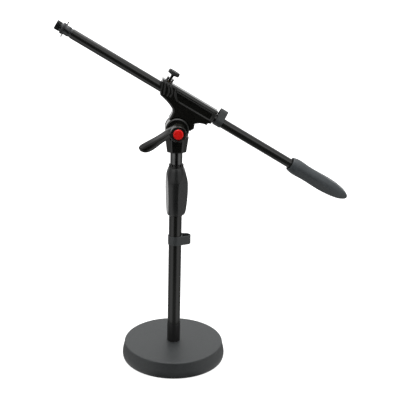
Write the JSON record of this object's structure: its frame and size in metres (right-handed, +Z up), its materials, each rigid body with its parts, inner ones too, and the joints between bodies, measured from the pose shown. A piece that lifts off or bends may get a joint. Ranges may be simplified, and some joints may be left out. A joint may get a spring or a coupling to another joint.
{
  "type": "boom microphone stand",
  "caption": "Low boom microphone stand: round heavy base, telescopic column with twist clutch, tilting boom with lever clamp, thumb screw, threaded end and rear grip.",
  "frame": {"origin": "centre of the underside, on the floor, at the face of the rubber ring", "axes": "+Z up along the column; the boom lies in the XZ plane, its microphone end towards -X and its grip towards +X; the clamping lever is on the -Y side"},
  "size_m": [0.4875, 0.1802, 0.5829],
  "materials": {
    "base_casting": "sand cast, textured black-grey powder coat",
    "rubber_base_ring": "moulded black rubber",
    "base_bolt": "zinc plated",
    "base_washer": "zinc plated",
    "lower_tube": "semi-gloss black powder coat",
    "tube_foot_plug": "turned steel",
    "tube_foot_sleeve": "satin black plastic",
    "clutch_core": "glass-filled nylon",
    "clutch_collet": "natural acetal",
    "clutch_barrel": "glass-filled nylon",
    "clutch_grip_cover": "satin soft-touch rubber",
    "clutch_collar": "satin black plastic",
    "tube_cable_clip": "matte dark grey plastic",
    "upper_tube": "semi-gloss black powder coat",
    "tube_guide_bush": "natural nylon",
    "tube_head_plug": "turned steel",
    "tube_ferrule": "semi-gloss black powder coat",
    "ferrule_screw": "black oxide steel",
    "swivel_knuckle": "satin black glass-filled nylon",
    "knuckle_set_screw": "black oxide steel",
    "pivot_bolt": "zinc plated steel",
    "friction_washers": "pressed fibre",
    "front_washer": "dark zinc plated steel",
    "clamping_lever": "satin black glass-filled nylon",
    "lever_nut": "zinc plated steel",
    "lever_screw": "zinc plated steel",
    "lever_spring": "spring steel",
    "lever_button": "red moulded plastic",
    "boom_clamp_body": "satin black glass-filled nylon",
    "clamp_bushes": "black nylon",
    "clamp_thread_insert": "turned brass",
    "pressure_pad": "natural acetal",
    "thumb_knob": "dark grey moulded plastic",
    "thumb_screw": "black zinc plated steel",
    "boom_tube": "semi-gloss black powder coat",
    "boom_end_plug": "black oxide steel",
    "grip_cover": "matte dark grey rubber",
    "counterweight": "turned steel",
    "thread_lock_ring": "black nickel plated steel",
    "lock_ring_pins": "bright steel",
    "boom_cable_clip": "matte dark grey plastic"
  },
  "bodies": {
    "stand": {"base_casting": "base_casting", "rubber_base_ring": "rubber_base_ring", "base_bolt": "base_bolt", "base_washer": "base_washer", "lower_tube": "lower_tube", "tube_foot_plug": "tube_foot_plug", "tube_foot_sleeve": "tube_foot_sleeve", "clutch_core": "clutch_core", "clutch_collet": "clutch_collet"},
    "clutch_grip": {"clutch_barrel": "clutch_barrel", "clutch_grip_cover": "clutch_grip_cover", "clutch_collar": "clutch_collar"},
    "tube_clip": {"tube_cable_clip": "tube_cable_clip"},
    "upper_tube": {"upper_tube": "upper_tube", "tube_guide_bush": "tube_guide_bush", "tube_head_plug": "tube_head_plug", "tube_ferrule": "tube_ferrule", "ferrule_screw": "ferrule_screw"},
    "knuckle": {"swivel_knuckle": "swivel_knuckle", "knuckle_set_screw": "knuckle_set_screw", "pivot_bolt": "pivot_bolt", "friction_washers": "friction_washers", "front_washer": "front_washer"},
    "lever": {"clamping_lever": "clamping_lever", "lever_nut": "lever_nut", "lever_screw": "lever_screw", "lever_spring": "lever_spring"},
    "lever_button": {"lever_button": "lever_button"},
    "boom_clamp": {"boom_clamp_body": "boom_clamp_body", "clamp_bushes": "clamp_bushes", "clamp_thread_insert": "clamp_thread_insert", "pressure_pad": "pressure_pad"},
    "thumb_screw": {"thumb_knob": "thumb_knob", "thumb_screw": "thumb_screw"},
    "boom": {"boom_tube": "boom_tube", "boom_end_plug": "boom_end_plug", "grip_cover": "grip_cover", "counterweight": "counterweight"},
    "lock_ring": {"thread_lock_ring": "thread_lock_ring", "lock_ring_pins": "lock_ring_pins"},
    "boom_clip": {"boom_cable_clip": "boom_cable_clip"}
  },
  "joints": [
    {"name": "height_slide", "type": "slide", "parent": "stand", "child": "upper_tube", "axis": [0, 0, 1], "range_m": [0, 0.19]},
    {"name": "clutch_twist", "type": "hinge", "parent": "stand", "child": "clutch_grip", "pos_m": [0, 0, 0.3], "axis": [0, 0, 1], "range_deg": [0, 180]},
    {"name": "tube_clip_slide", "type": "slide", "parent": "stand", "child": "tube_clip", "axis": [0, 0, 1], "range_m": [-0.14, 0.035]},
    {"name": "head_pan", "type": "hinge", "parent": "upper_tube", "child": "knuckle", "pos_m": [0, 0, 0.38], "axis": [0, 0, 1], "continuous": true},
    {"name": "boom_tilt", "type": "hinge", "parent": "knuckle", "child": "boom_clamp", "pos_m": [0, 0, 0.4125], "axis": [0, 1, 0], "range_deg": [-80, 24]},
    {"name": "lever_turn", "type": "hinge", "parent": "knuckle", "child": "lever", "pos_m": [0, -0.034, 0.4125], "axis": [0, 1, 0], "range_deg": [-90, 90]},
    {"name": "button_press", "type": "slide", "parent": "lever", "child": "lever_button", "axis": [0, 1, 0], "range_m": [0, 0.002]},
    {"name": "boom_slide", "type": "slide", "parent": "boom_clamp", "child": "boom", "axis": [0.8634, 0, -0.5045], "range_m": [-0.13, 0.16]},
    {"name": "thumb_screw_turn", "type": "hinge", "parent": "boom_clamp", "child": "thumb_screw", "pos_m": [-0.01333, 0, 0.48978], "axis": [0.5045, 0, 0.8634], "continuous": true},
    {"name": "boom_clip_turn", "type": "hinge", "parent": "boom_clamp", "child": "boom_clip", "pos_m": [0.06822, 0, 0.42499], "axis": [0.8634, 0, -0.5045], "continuous": true},
    {"name": "lock_ring_turn", "type": "hinge", "parent": "boom", "child": "lock_ring", "pos_m": [-0.18009, 0, 0.57009], "axis": [0.8634, 0, -0.5045], "continuous": true}
  ]
}
